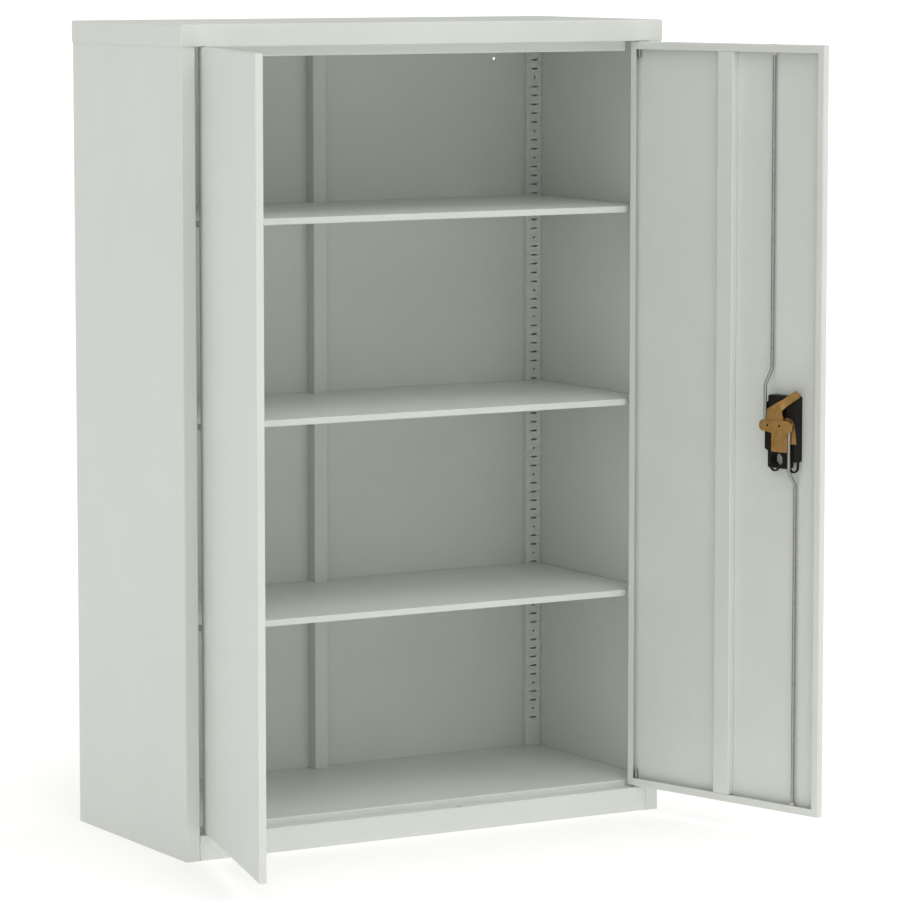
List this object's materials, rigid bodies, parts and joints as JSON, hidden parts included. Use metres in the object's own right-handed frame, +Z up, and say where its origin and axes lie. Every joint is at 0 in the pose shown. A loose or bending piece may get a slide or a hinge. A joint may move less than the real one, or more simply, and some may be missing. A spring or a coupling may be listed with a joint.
{
  "type": "metal storage cabinet",
  "caption": "Free-standing two-door sheet-steel storage cabinet with adjustable shelves on slotted uprights and a rod lock, doors open.",
  "frame": {"origin": "on the floor at the middle of the plinth, where the cabinet's front plane meets the floor", "axes": "+X to the right as seen from the front, +Y from the front to the back, +Z up"},
  "size_m": [1.0417, 0.7892, 1.34],
  "materials": {
    "powder_coat": "light grey satin powder coat",
    "zinc_steel": "bright zinc plated",
    "yellow_zinc": "yellow passivated zinc plated",
    "black_plastic": "black moulded, satin",
    "nylon": "natural white, satin"
  },
  "bodies": {
    "carcass": {"top_cap": "powder_coat", "header_rail": "powder_coat", "plinth": "powder_coat", "left_side_panel": "powder_coat", "right_side_panel": "powder_coat", "bottom_panel": "powder_coat", "back_panel": "powder_coat", "back_stiffener": "powder_coat", "front_upright_left": "powder_coat", "front_upright_right": "powder_coat", "rear_upright_left": "powder_coat", "rear_upright_right": "powder_coat", "shelf_lower": "powder_coat", "shelf_middle": "powder_coat", "shelf_upper": "powder_coat", "clip_upper_front_left": "zinc_steel", "clip_upper_front_right": "zinc_steel", "clip_upper_rear_left": "zinc_steel", "clip_upper_rear_right": "zinc_steel", "clip_middle_front_left": "zinc_steel", "clip_middle_front_right": "zinc_steel", "clip_middle_rear_left": "zinc_steel", "clip_middle_rear_right": "zinc_steel", "clip_lower_front_left": "zinc_steel", "clip_lower_front_right": "zinc_steel", "clip_lower_rear_left": "zinc_steel", "clip_lower_rear_right": "zinc_steel", "hinge_pin_top_left": "zinc_steel", "hinge_pin_top_right": "zinc_steel", "hinge_pin_bottom_left": "zinc_steel", "hinge_pin_bottom_right": "zinc_steel", "door_washer_left": "nylon", "door_washer_right": "nylon"},
    "left_door": {"left_door_panel": "powder_coat", "left_door_stiffener": "powder_coat", "pivot_plate_top_left": "zinc_steel", "pivot_plate_bottom_left": "zinc_steel"},
    "right_door": {"right_door_panel": "powder_coat", "right_door_stiffener": "powder_coat", "pivot_plate_top_right": "zinc_steel", "pivot_plate_bottom_right": "zinc_steel", "lock_case": "black_plastic", "handle_rose": "black_plastic", "rod_bush_top": "nylon", "rod_bush_bottom": "nylon"},
    "handle": {"turn_handle": "black_plastic", "handle_spindle": "zinc_steel", "cam_plate": "yellow_zinc", "latch_hook": "yellow_zinc", "cam_leaf": "yellow_zinc", "cam_rivet_left": "yellow_zinc", "cam_rivet_right": "yellow_zinc"},
    "upper_rod": {"upper_lock_rod": "zinc_steel"},
    "lower_rod": {"lower_lock_rod": "zinc_steel"},
    "key": {"key_cylinder": "zinc_steel"}
  },
  "joints": [
    {"name": "left_door_swing", "type": "hinge", "parent": "carcass", "child": "left_door", "pos_m": [-0.4084, 0.0048, 0.67], "axis": [0, 0, -1], "range_deg": [-105.3, 29.7]},
    {"name": "right_door_swing", "type": "hinge", "parent": "carcass", "child": "right_door", "pos_m": [0.4084, 0.0048, 0.67], "axis": [0, 0, 1], "range_deg": [-105.3, 29.7]},
    {"name": "handle_turn", "type": "hinge", "parent": "right_door", "child": "handle", "pos_m": [0.49347, -0.30617, 0.684], "axis": [-0.9646, -0.2639, 0], "range_deg": [-26, 0]},
    {"name": "upper_rod_slide", "type": "slide", "parent": "right_door", "child": "upper_rod", "axis": [0, 0, 1], "range_m": [0, 0.0126]},
    {"name": "lower_rod_slide", "type": "slide", "parent": "right_door", "child": "lower_rod", "axis": [0, 0, -1], "range_m": [0, 0.0126]},
    {"name": "key_turn", "type": "hinge", "parent": "right_door", "child": "key", "pos_m": [0.49347, -0.30617, 0.65], "axis": [0.9646, 0.2639, 0], "range_deg": [0, 90]}
  ],
  "couplings": [
    {"joint": "upper_rod_slide", "follows": "handle_turn", "m_per_rad": -0.027569},
    {"joint": "lower_rod_slide", "follows": "handle_turn", "m_per_rad": -0.027569}
  ]
}
